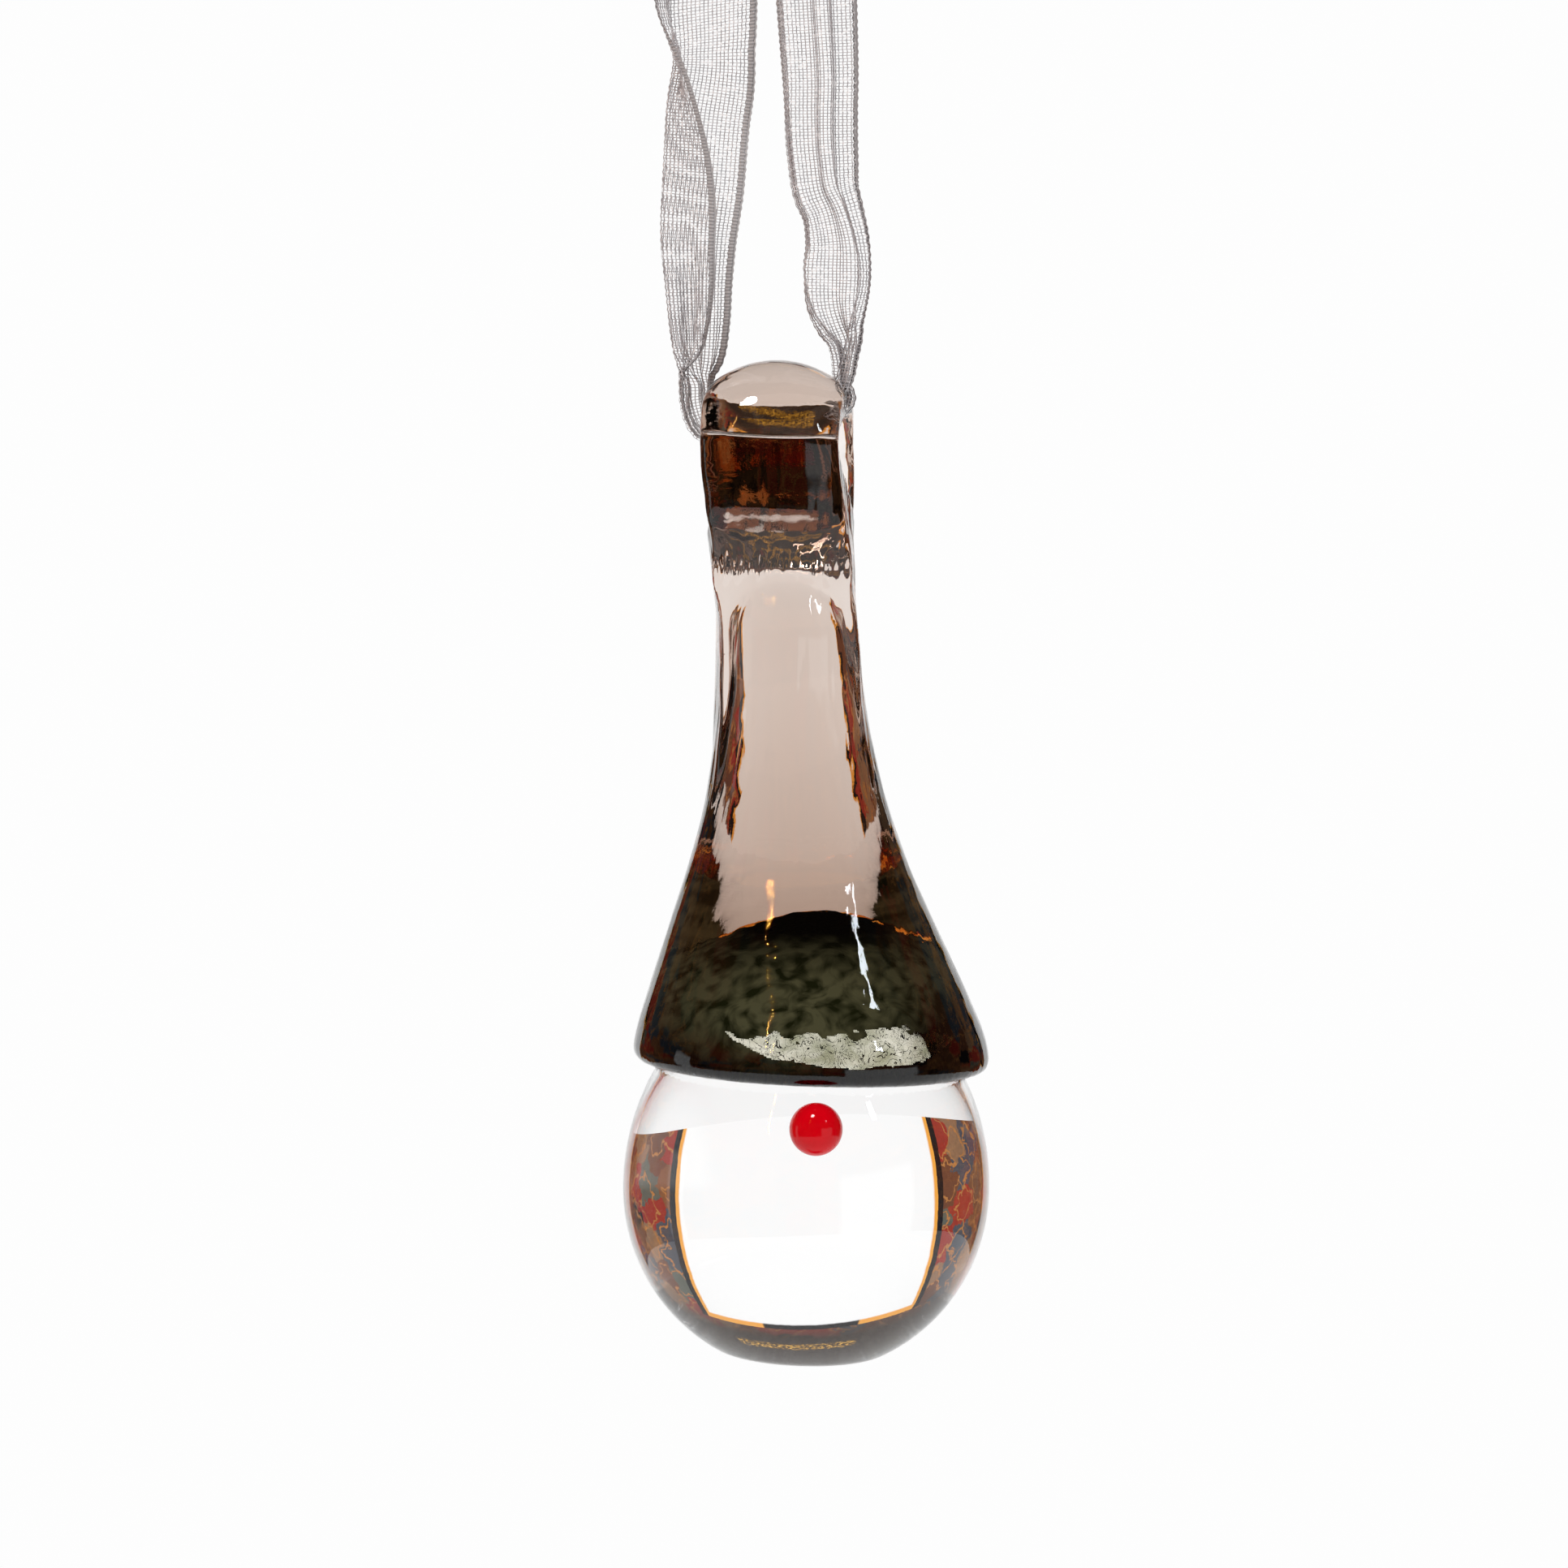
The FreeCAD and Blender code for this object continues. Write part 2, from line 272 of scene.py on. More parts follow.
# The drawn glass's skin: heights of its streaks and of its ripples, and how far the streaks are drawn out
# (they change this much as fast along the glass as round it). The skin is calmer on the bell and in the loop,
# where a share of it is left: (start, length) of the stretches over which it grows lively and calms down.
STREAK_HEIGHT, RIPPLE_HEIGHT, STREAK_DRAW = 0.014, 0.012, 0.06
LIVELY, BELL_SHARE = (22, 10), 0.35
CALMED, LOOP_SHARE = (53, 3), 0.25

# Folded strap: (height, front face, back face, front centre x, back centre x)
STRAP_STATIONS = [
    (40.0, -3.0, 3.0, -2.5, -3.2),
    (44.0, -3.4, 3.2, -3.0, -3.3),
    (46.0, -3.6, 3.4, -3.4, -3.35),
    (46.9, -3.96, 3.6, -3.45, -3.35),
    (47.6, -4.29, 3.95, -3.55, -3.35),
    (48.6, -4.75, 4.55, -3.7, -3.36),
    (49.6, -5.22, 5.15, -3.85, -3.38),
    (50.6, -5.68, 5.75, -4.05, -3.4),
    (51.5, -6.1, 6.3, -4.2, -3.4),
    (52.3, -6.18, 6.78, -4.3, -3.42),
    (52.9, -6.16, 6.98, -4.4, -3.43),
    (54.2, -6.1, 6.85, -4.6, -3.47),
    (56.35, -6.02, 6.02, -4.8, -3.6),
]
ARCH_CENTRE, ARCH_RADIUS = 56.35, 6.02
STRAP_HALF_WIDTH, STRAP_EDGE, STRAP_SQUARE = 5.1, 1.72, 2.3
ARCH_CROWN = 1.3
# The tail ends in a curved lip over the back of the neck.
TAIL_END, TAIL_LIP, TAIL_CURVE = 46.0, 1.3, 0.045
NECK_BACK = 3.6

# The eye, a hole from side to side. Its front wall slants back and down to the weld, so that it mirrors the
# length of the neck. Corners of its section: (y, z), each rounded by EYE_ROUND.
EYE = [
    (-2.95, 56.75),
    (-1.2, 57.45),
    (0.4, 58.0),
    (1.7, 57.75),
    (2.7, 56.9),
    (3.15, 55.4),
    (3.5, 53.0),
    (3.55, 51.1),
]
EYE_ROUND, EYE_RIM = 0.12, 0.9


def wobble(seed, shortest, longest, count=28):
    """A smooth random field: waves in random directions, about 1 high."""
    dice = np.random.default_rng(seed)
    way = dice.normal(size=(count, 3))
    way /= np.linalg.norm(way, axis=1, keepdims=True)
    wave = way * (2 * math.pi / dice.uniform(shortest, longest, count))[:, None]
    phase = dice.uniform(0, 2 * math.pi, count)
    return lambda p: np.sin(p @ wave.T + phase).sum(-1) * math.sqrt(2 / count)


DIMPLES = wobble(SEED, 0.9, 2.2)
RIPPLES = wobble(SEED + 1, 3.0, 9.0)
STREAKS = wobble(SEED + 2, 0.5, 1.6)


def head_field(p, grow=0.0):
    """Signed field of the clear head: negative inside."""
    radius = np.hypot(p[:, 0], p[:, 1] * HEAD_SIDE / HEAD_FORE)
    up = p[:, 2] - EQUATOR
    tall = np.where(up > 0, HEAD_RISE, HEAD_FALL)
    ball = (np.sqrt((radius / HEAD_SIDE) ** 2 + (up / tall) ** 2) - 1) * HEAD_SIDE
    wall = (radius - SHOULDER_RADIUS + SHOULDER_SLOPE * (p[:, 2] - SHOULDER)) * 0.98
    side = np.where(p[:, 2] < SHOULDER, ball, wall) - grow
    blunt = np.hypot(radius, CONE_BLUNT) - CONE_BLUNT
    cone = (p[:, 2] - CONE_TOP + CONE_SLOPE * blunt) / math.hypot(1, CONE_SLOPE) - grow
    cone = cone + DIMPLE_HEIGHT * DIMPLES(p) * turn_by((p[:, 2] - DIMPLE_START) / 2)
    body = smooth_max(side, cone, CONE_ROUND)
    return smooth_max(body, -BASE_DROP - p[:, 2], BASE_ROUND)


def section(across, through, half_width, half_thick, square):
    """Field of a rounded, squarish section."""
    size = (np.abs(across / half_width) ** square + np.abs(through / half_thick) ** square) ** (1 / square)
    return (size - 1) * np.minimum(half_width, half_thick)


def strap_field(p):
    """Field of the drawn-out strap folded backwards, before the eye is opened in it."""
    x, y, z = p.T
    front, back, front_x, tail_x = smooth_curve(STRAP_STATIONS, z).T
    step = turn_by((z - TAIL_END - TAIL_CURVE * (x - tail_x) ** 2) / TAIL_LIP)
    back = NECK_BACK + (back - NECK_BACK) * step
    middle = front_x + (tail_x - front_x) * turn_by((y + 4.5) / 9.0)
    above = np.maximum(z - ARCH_CENTRE, 0)
    depth = np.maximum(np.where(y < 0, -front, back), 0.1)
    out = np.hypot(y * ARCH_RADIUS / depth, above)
    across = x - middle
    crown = ARCH_CROWN * np.clip(above / ARCH_RADIUS, 0, 1) * (across / STRAP_HALF_WIDTH) ** 2
    through = np.maximum(out + crown - ARCH_RADIUS + STRAP_EDGE, 0)
    return section(across, through, STRAP_HALF_WIDTH, STRAP_EDGE, STRAP_SQUARE)


def eye_field(p):
    """Field of the eye: negative inside the hole."""
    spot = p[:, 1:]
    corners = np.array(EYE)
    nearest = np.full(len(p), np.inf)
    inside = np.zeros(len(p), bool)
    for start, end in zip(corners, np.roll(corners, -1, axis=0)):
        edge = end - start
        share = np.clip((spot - start) @ edge / (edge @ edge), 0, 1)
        nearest = np.minimum(nearest, np.linalg.norm(spot - start - share[:, None] * edge, axis=1))
        spans = (start[1] > spot[:, 1]) != (end[1] > spot[:, 1])
        cut = start[0] + (spot[:, 1] - start[1]) * edge[0] / np.where(edge[1] == 0, 1e-9, edge[1])
        inside ^= spans & (spot[:, 0] < cut)
    return np.where(inside, -nearest, nearest) - EYE_ROUND


def hat_field(p):
    """Field of the whole hat: bell and neck, fused with the folded strap, hollow over the head's dome."""
    half_width, half_depth, middle, square = smooth_curve(HAT_STATIONS, p[:, 2]).T
    bell = section(p[:, 0] - middle, p[:, 1], half_width, half_depth, square)
    bell = smooth_max(bell, UNDERSIDE - p[:, 2], LIP_ROUND)
    bell = smooth_max(bell, p[:, 2] - NECK_TOP, NECK_ROUND)
    torn = rise_over(p[:, 2], WELD_RAGGED) * (1 - rise_over(p[:, 2], WELD_CALM))
    shift = WELD_TEAR * torn * STREAKS(p * np.array([1, 0, 0]))
    outer = smooth_min(bell, strap_field(p + shift[:, None] * np.array([0, 0, 1])), WELD_BLEND)
    drawn = p * np.array([1, 1, STREAK_DRAW])
    share = 1 - (1 - LOOP_SHARE) * rise_over(p[:, 2], CALMED)
    share = share * (BELL_SHARE + (1 - BELL_SHARE) * rise_over(p[:, 2], LIVELY))
    outer = outer + (STREAK_HEIGHT * STREAKS(drawn) + RIPPLE_HEIGHT * RIPPLES(p)) * share
    opened = smooth_max(outer, -eye_field(p), EYE_RIM)
    return np.maximum(opened, -head_field(p, AIR_FILM))


def make_head():
    """Clear glass head."""
    cell = 0.4
    verts, quads, normals = skin_of(head_field, (-15, -15, -13), (15, 15, 22.5), cell)
    return make_object("Head", to_row(verts), quads, normals=normals @ TURN.T)


def make_hat():
    """Smoked glass hat with its neck and hanging loop."""
    cell = 0.28
    verts, quads, normals = skin_of(hat_field, (-14.5, -14, 8), (14.5, 14, 64), cell)
    return make_object("Hat", to_row(verts), quads, normals=normals @ TURN.T)


def make_skin():
    """Thin mottled lining of the hat's hollow, with ragged openings low in front and behind its crown."""
    rings, sides = 170, 720
    outline = np.array(LINING_PROFILE)
    reach = np.concatenate([[0], np.cumsum(np.hypot(*np.diff(outline, axis=0).T))])
    profile = smooth_curve(np.column_stack([reach, outline]), np.linspace(0.02, reach[-1], rings))
    turn = np.linspace(0, 2 * math.pi, sides, endpoint=False)
    verts = np.stack([np.outer(profile[:, 0], np.sin(turn)), np.outer(profile[:, 0], -np.cos(turn)),
                      np.repeat(profile[:, 1:], sides, 1)], -1).reshape(-1, 3)
    for _ in range(8):
        off = head_field(verts) - AIR_FILM - LINING_STANDOFF
        verts = onto_field(verts, off, gradient(head_field, verts), 0.3)
    slope = gradient(head_field, verts)
    normals = slope / np.linalg.norm(slope, axis=-1, keepdims=True)
    faces = grid_faces(rings, sides, wrap=True)
    middle = verts[faces].mean(1)
    aside = (np.arctan2(middle[:, 0], -middle[:, 1]) - OPENING_TURN) / OPENING_HALF
    ragged = wobble(SEED + 3, 0.5, 2.6)(middle)
    top = OPENING_TOP + 0.25 * aside - 0.9 * aside**4 + 0.24 * ragged
    bottom = OPENING_BOTTOM - 0.2 * aside + 1.7 * np.abs(aside) ** 2.5 + 0.06 * ragged
    low = (middle[:, 2] < top) & (middle[:, 2] > bottom) & (np.abs(aside) < 1)
    crown = (middle[:, 1] > CROWN_FRONT + 0.35 * ragged) & (middle[:, 1] < CROWN_BACK)
    crown &= (np.abs(middle[:, 0]) < CROWN_HALF + 0.5 * ragged) & (middle[:, 2] > CROWN_BOTTOM)
    pieces = []
    for name, share in (("HatLining", ~low & ~crown), ("LiningOpening", low), ("LiningCrown", crown)):
        used, picked = np.unique(faces[share], return_inverse=True)
        picked = picked.reshape(-1, 4)
        pieces.append(make_object(name, to_row(verts[used]), picked, normals=normals[used] @ TURN.T))
    return pieces


def make_nose():
    """Red glass bead, slightly flattened from front to back."""
    low, high = (np.array(corner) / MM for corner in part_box("nose"))
    half = (high - low) / 2
    flat = 0.95
    centre = np.array([(low[0] + high[0]) / 2, low[1] + half[0] * flat, (low[2] + high[2]) / 2])
    rings, sides = 48, 64
    lat = np.linspace(-math.pi / 2, math.pi / 2, rings)
    lon = np.linspace(0, 2 * math.pi, sides, endpoint=False)
    lat, lon = np.meshgrid(lat, lon, indexing="ij")
    out = -np.sin(lat)
    radius = np.cos(lat) ** 0.96
    verts = np.stack([radius * np.cos(lon), out * flat, radius * np.sin(lon)], -1) * half[0]
    return make_object("Nose", verts.reshape(-1, 3) + centre, grid_faces(rings, sides, wrap=True))


# ------------------------------------------------------------------ ribbon
# The ribbon is one layer of cloth. At each station along it, its section is known by its heading at each
# point across, so that no width is gained or lost where it folds and gathers.
WIDTH = 10.6
THREAD_PITCH, WEFT_PITCH = 0.32, 0.22
SELVEDGE = 0.46
COLUMNS = 96
ACROSS = np.linspace(0, 1, COLUMNS)
ROW_STEP = 0.14
# Its edges are drawn in and out a little by the weft.
SCALLOP, SCALLOP_PITCH = 0.035, 0.55
# Share of the width over which a flap turns over at its fold.
FOLD_SHARE = 0.16

# Left strand, downwards: (z, left edge, right edge, heading of the front flap in degrees, place of the fold)
LEFT_STRAND = [
    (1.4, -1.0, -0.02, 60, 0.35),
    (-0.8, -1.2, -0.03, 60, 0.35),
    (-4.0, -2.1, -0.15, 60, 0.35),
    (-10.0, -3.9, -0.3, 55, 0.35),
    (-17.0, -5.9, -0.4, 50, 0.36),
    (-25.0, -7.5, -0.5, 50, 0.38),
    (-32.0, -8.2, -0.5, 60, 0.40),
    (-37.5, -8.13, -0.48, 72, 0.40),
    (-42.3, -6.98, -0.89, 96, 0.40),
    (-46.5, -7.74, -1.35, 133, 0.40),
    (-51.6, -8.23, -1.96, 165, 0.41),
    (-55.5, -8.38, -2.77, 172, 0.45),
    (-58.6, -8.18, -3.18, 174, 0.48),
    (-61.6, -7.99, -3.47, 174, 0.49),
    (-64.0, -7.72, -3.95, 170, 0.50),
    (-66.0, -7.31, -4.95, 160, 0.50),
    (-67.4, -6.98, -5.20, 150, 0.50),
]
# Bight through the eye: (x, z, height)
BIGHT = [
    (-5.75, -68.70, 1.5),
    (-5.05, -69.50, 1.5),
    (-3.90, -69.90, 1.6),
    (-0.60, -69.85, 1.7),
    (2.00, -69.85, 1.6),
    (3.20, -69.45, 1.5),
    (4.05, -68.65, 1.4),
]
# Right strand, upwards: (z, left edge, right edge, heading at the right selvedge, heading at the left one)
RIGHT_STRAND = [
    (-67.5, 3.85, 5.20, -150, 150),
    (-66.2, 3.97, 5.48, -150, 150),
    (-64.4, 3.86, 5.97, -150, 150),
    (-63.2, 3.54, 6.32, -148, 150),
    (-62.0, 2.80, 6.54, -145, 150),
    (-60.7, 2.24, 6.77, -140, 145),
    (-58.3, 2.09, 7.10, -135, 135),
    (-55.9, 2.30, 7.06, -130, 130),
    (-53.5, 2.03, 6.67, -120, 130),
    (-52.3, 1.53, 6.45, -110, 130),
    (-49.8, 1.19, 6.44, -100, 130),
    (-43.8, 1.05, 6.66, -95, 120),
    (-37.8, 0.79, 6.76, -85, 115),
    (-30.0, 0.60, 6.90, -80, 105),
    (-20.0, 0.40, 6.60, -80, 95),
    (-11.0, 0.30, 4.40, -80, 90),
    (-4.0, 0.15, 2.10, -80, 90),
    (-0.8, 0.03, 1.20, -80, 90),
    (1.4, 0.02, 1.00, -80, 90),
]
# Tails, upwards from the knot, for the left one: (x, y, z, spread)
TAIL = [
    (-0.30, 0.5, 4.4, 2.2),
    (-0.55, 0.7, 6.2, 2.6),
    (-1.40, 0.9, 9.0, 4.6),
    (-2.90, 1.0, 12.5, 7.0),
    (-4.30, 0.9, 15.5, 8.6),
    (-5.60, 0.7, 18.5, 9.4),
]
TAIL_SLANT = 4.0


def flap_heading(flap, fold):
    """Headings across a ribbon with its first part folded over the rest."""
    return math.radians(flap) * (1 - turn_by((ACROSS - fold) / FOLD_SHARE + 0.5))


def curl_heading(first, last):
    """Headings across a ribbon curled into a trough."""
    off = 2 * ACROSS - 1
    return np.radians(first + (last - first) * (0.5 + 0.5 * off * (0.55 + 0.45 * off**2)))


def unroll(heading):
    """Points of the section, in millimetres, that has these headings; centred on its extent."""
    middle = (heading[..., 1:] + heading[..., :-1]) / 2
    step = WIDTH / (COLUMNS - 1)
    across = np.cumsum(np.cos(middle), -1) * step
    through = np.cumsum(np.sin(middle), -1) * step
    across = np.concatenate([np.zeros_like(across[..., :1]), across], -1)
    through = np.concatenate([np.zeros_like(through[..., :1]), through], -1)
    across = across - (across.max(-1, keepdims=True) + across.min(-1, keepdims=True)) / 2
    through = through - (through.max(-1, keepdims=True) + through.min(-1, keepdims=True)) / 2
    return across, through


def gather(heading, spread, pleats, phase):
    """Headings pleated until the section is no wider than spread."""
    wave = np.sin(2 * math.pi * (pleats * ACROSS + phase))
    wave = wave * (1 + 0.18 * np.sin(2 * math.pi * (0.7 * ACROSS + phase)))
    low, high = 0.0, 2.4
    for _ in range(20):
        amount = (low + high) / 2
        across, _ = unroll(heading + amount * wave)
        if across.max() - across.min() > spread:
            low = amount
        else:
            high = amount
    return heading + low * wave


def strip(name, centres, headings, taper=None):
    """Ribbon along a line of centres, with the given headings at each; returned with its grid of points."""
    centres = np.asarray(centres, float)
    length = np.concatenate([[0], np.cumsum(np.linalg.norm(np.diff(centres, axis=0), axis=1))])
    table = np.column_stack([length, centres, np.asarray(headings)])
    rows = int(length[-1] / ROW_STEP) + 1
    at = np.linspace(0, length[-1], rows)
    values = smooth_curve(table, at)
    middle, heading = values[:, :3], values[:, 3:]
    along = np.gradient(middle, at, axis=0)
    along[:, 1] = 0
    along /= np.linalg.norm(along, axis=1, keepdims=True)
    side = np.cross(along, [0, 1, 0])
    across, through = unroll(heading)
    scallop = SCALLOP * np.sin(2 * math.pi * at / SCALLOP_PITCH)
    across = across * (1 + scallop / np.maximum(across.max(-1), 0.7))[:, None]
    points = middle[:, None] + across[..., None] * side[:, None] + through[..., None] * np.array([0, 1, 0])
    if taper is not None:
        points = points + taper(at / at[-1], ACROSS)[..., None] * along[:, None]
    uv = np.stack(np.broadcast_arrays(ACROSS * WIDTH, at[:, None]), -1)
    obj = make_object(name, points.reshape(-1, 3), grid_faces(rows, COLUMNS), uv.reshape(-1, 2))
    return obj, points


def selvedge(name, points, column, wide=0.42, thick=0.15):
    """Thick woven edge along one side of a ribbon, with the bumps of the turning weft."""
    inset = 7
    inner = column + (inset if column == 0 else -inset)
    line = points[:, column] * 0.55 + points[:, inner] * 0.45
    towards = points[:, inner] - points[:, column]
    towards /= np.linalg.norm(towards, axis=1, keepdims=True)
    along = np.gradient(line, axis=0)
    along /= np.linalg.norm(along, axis=1, keepdims=True)
    out = np.cross(along, towards)
    far = np.concatenate([[0], np.cumsum(np.linalg.norm(np.diff(line, axis=0), axis=1))])
    bump_height, bump_pitch = 0.16, 0.5
    bump = 1 + bump_height * np.sin(2 * math.pi * far / bump_pitch)
    sides = 10
    round_it = np.linspace(0, 2 * math.pi, sides, endpoint=False)
    verts = (line[:, None]
             + (np.cos(round_it) * wide / 2)[None, :, None] * (towards * bump[:, None])[:, None]
             + (np.sin(round_it) * thick / 2)[None, :, None] * (out * bump[:, None])[:, None])
    uv = np.stack(np.broadcast_arrays(round_it / (2 * math.pi) * SELVEDGE, far[:, None]), -1)
    return make_object(name, verts.reshape(-1, 3), grid_faces(len(line), sides, wrap=True), uv.reshape(-1, 2))


def make_ribbon():
    """Both strands and the bight, in one strip from the knot, through the eye and back."""
    centres, headings = [], []
    for z, left, right, flap, fold in LEFT_STRAND:
        centres.append(((left + right) / 2, 0, z))
        headings.append(gather(flap_heading(flap, fold), right - left, 3.4, 0.2))
    for x, z, tall in BIGHT:
        share = (x - BIGHT[0][0]) / (BIGHT[-1][0] - BIGHT[0][0])
        base = (1 - share) * flap_heading(140, 0.5) + share * curl_heading(-150, 150)
        centres.append((x, 0, z))
        headings.append(gather(base, tall, 3.4 - 0.6 * share, 0.2 - 0.2 * share))
    for z, left, right, first, last in RIGHT_STRAND:
        centres.append(((left + right) / 2, 0, z))
        headings.append(gather(curl_heading(first, last), right - left, 2.8, 0.0))
    return strip("Ribbon", centres, headings)


def make_tail(name, mirror):
    """Free end of the ribbon above the knot, spread and cut at a slant. Mirror is 1 or -1."""
    centres, headings = [], []
    for x, y, z, spread in TAIL:
        centres.append((x * mirror, y * mirror, z))
        headings.append(gather(curl_heading(-40, 40), spread, 2.5, 0.1))

    def slant(far, across):
        return (far**3)[:, None] * (across[None] - 0.5) * TAIL_SLANT * mirror

    return strip(name, centres, headings, taper=slant)


def make_knot():
    """Overhand knot: the gathered ribbon wound round itself once and drawn tight."""
    # The polynomial trefoil, squashed, with both ends drawn back to the middle.
    middle_height, half_side, half_deep = 3.1, 2.0, 1.15
    t = np.linspace(-2.2, 2.2, 260)
    up = (t**3 - 3 * t) * 0.62
    side = half_side * np.tanh(((t**4 - 4 * t**2) * 0.46 + 0.75) / half_side)
    deep = half_deep * np.tanh((t**5 - 10 * t) * 0.14 / half_deep)
    ends = turn_by((np.abs(t) - 1.75) / 0.45)
    path = np.stack([side * (1 - ends), deep * (1 - ends), up + middle_height], -1)
    along = np.gradient(path, axis=0)
    along /= np.linalg.norm(along, axis=1, keepdims=True)
    first = np.cross(along, [0.3, 1.0, 0.2])
    first /= np.linalg.norm(first, axis=1, keepdims=True)
    second = np.cross(along, first)
    sides = 72
    round_it = np.linspace(0, 2 * math.pi, sides, endpoint=False)
    far = np.concatenate([[0], np.cumsum(np.linalg.norm(np.diff(path, axis=0), axis=1))])
    grooves = (1 + 0.13 * np.sin(7 * round_it[None] + 0.35 * far[:, None])
               + 0.05 * np.sin(13 * round_it[None] + far[:, None]))
    half_width, half_thick = 1.12, 0.92
    verts = (path[:, None] + (half_width * np.cos(round_it) * grooves)[..., None] * first[:, None]
             + (half_thick * np.sin(round_it) * grooves)[..., None] * second[:, None])
    uv = np.stack(np.broadcast_arrays(round_it / (2 * math.pi) * WIDTH, far[:, None]), -1)
    faces = grid_faces(len(t), sides, wrap=True)
    return make_object("RibbonKnot", verts.reshape(-1, 3), faces, uv.reshape(-1, 2))


# ------------------------------------------------------------------ materials
def node_tree(name):
    """A new material and its empty node tree."""
    material = bpy.data.materials.new(name)
    material.use_nodes = True
    material.node_tree.nodes.clear()
    return material, material.node_tree


def add(tree, kind, inputs=None, **settings):
    """A node with its settings made, its plain inputs set and its linked inputs joined."""
    node = tree.nodes.new(kind)
    for key, value in settings.items():
        setattr(node, key, value)
    for key, value in (inputs or {}).items():
        if isinstance(value, bpy.types.NodeSocket):
            tree.links.new(value, node.inputs[key])
        else:
            node.inputs[key].default_value = value
    return node


def math_node(tree, operation, *values, clamp=False):
    """A Math node's output."""
    node = tree.nodes.new("ShaderNodeMath")
    node.operation = operation
    node.use_clamp = clamp
    for socket, value in zip(node.inputs, values):
        if isinstance(value, bpy.types.NodeSocket):
            tree.links.new(value, socket)
        else:
            socket.default_value = value
    return node.outputs[0]


def ramp_of(tree, value, stops, interpolation="LINEAR"):
    """Colour from a value, by stops of (value, colour)."""
    node = add(tree, "ShaderNodeValToRGB", {"Fac": value})
    node.color_ramp.interpolation = interpolation
    elements = node.color_ramp.elements
    for element, (at, colour) in zip(elements, (stops[0], stops[-1])):
        element.position, element.color = at, (*colour, 1)
    for at, colour in stops[1:-1]:
        elements.new(at).color = (*colour, 1)
    return node.outputs[0]


def colour_mix(tree, share, low, high):
    """Colour between two, each a colour or a socket."""
    node = add(tree, "ShaderNodeMix", {"Factor": share}, data_type="RGBA")
    for socket, value in zip((node.inputs[6], node.inputs[7]), (low, high)):
        if isinstance(value, bpy.types.NodeSocket):
            tree.links.new(value, socket)
        else:
            socket.default_value = (*value, 1)
    return node.outputs[2]


def glass_material(name, absorb, density, bump=0.004):
    """Glass coloured through its thickness, its skin drawn into faint upright lines."""
    material, tree = node_tree(name)
    place = add(tree, "ShaderNodeTexCoord").outputs["Object"]
    stretch = add(tree, "ShaderNodeMapping", {"Vector": place, "Scale": (1000, 1000, 60)})
    lines = add(tree, "ShaderNodeTexNoise", {"Vector": stretch.outputs[0], "Scale": 3.0, "Detail": 3})
    bumped = add(tree, "ShaderNodeBump", {"Height": lines.outputs[0], "Strength": 1.0, "Distance": bump * MM})
    surface = add(tree, "ShaderNodeBsdfPrincipled", {
        "Base Color": (1, 1, 1, 1), "Roughness": 0.0, "IOR": 1.5, "Transmission Weight": 1.0,
        "Normal": bumped.outputs[0]})
    inside = add(tree, "ShaderNodeVolumeAbsorption", {"Color": absorb, "Density": density})
    add(tree, "ShaderNodeOutputMaterial", {"Surface": surface.outputs[0], "Volume": inside.outputs[0]})
    return material


def mottled_skin():
    """Dark olive, mottled in cells about a millimetre across, with a painted glow in its middle."""
    material, tree = node_tree("MottledOlive")
    place = add(tree, "ShaderNodeTexCoord").outputs["Object"]
    cells = add(tree, "ShaderNodeTexVoronoi", {"Vector": place, "Scale": 1100.0}, feature="SMOOTH_F1")
    cloud = add(tree, "ShaderNodeTexNoise", {"Vector": place, "Scale": 480.0, "Detail": 5, "Distortion": 1.0})
    mix = math_node(tree, "MULTIPLY_ADD", cells.outputs["Distance"], -0.45,
                    math_node(tree, "ADD", cloud.outputs[0], 0.2))
    shade = ramp_of(tree, mix, [(0.36, (0.10, 0.12, 0.03)), (0.62, (0.90, 0.86, 0.42))])
    front = add(tree, "ShaderNodeBsdfDiffuse", {"Color": shade})
    through = add(tree, "ShaderNodeBsdfTranslucent", {"Color": shade})
    both = add(tree, "ShaderNodeMixShader", {0: 0.45, 1: front.outputs[0], 2: through.outputs[0]})

    # Painted glow: an emission in the lining's middle stands in for light carried inside the glass, and
    # leaves the rims dark. The painted glow fades with the distance from its middle, counted in its own half
    # widths.
    painted_glow_height, painted_glow_half_width, painted_glow_half_height, painted_glow_strength = 15.2, 10.5, 4.2, 0.07
    east, _, up = add(tree, "ShaderNodeSeparateXYZ", {"Vector": place}).outputs
    east = math_node(tree, "SUBTRACT", east, HEAD_AT[0] * MM)
    up = math_node(tree, "SUBTRACT", up, (HEAD_AT[2] + painted_glow_height) * MM)
    aside = math_node(tree, "DIVIDE", east, painted_glow_half_width * MM)
    above = math_node(tree, "DIVIDE", up, painted_glow_half_height * MM)
    far = math_node(tree, "ADD", math_node(tree, "MULTIPLY", aside, aside),
                    math_node(tree, "MULTIPLY", above, above))
    inner = math_node(tree, "SUBTRACT", 1.15, far, clamp=True)
    amount = math_node(tree, "MULTIPLY", inner, painted_glow_strength)
    # Emission in the lining's own colour: a painted glow, though the lining is no lamp.
    painted_glow = add(tree, "ShaderNodeEmission", {"Color": shade, "Strength": amount})
    lit = add(tree, "ShaderNodeAddShader", {0: both.outputs[0], 1: painted_glow.outputs[0]})
    add(tree, "ShaderNodeOutputMaterial", {"Surface": lit.outputs[0]})
    return material


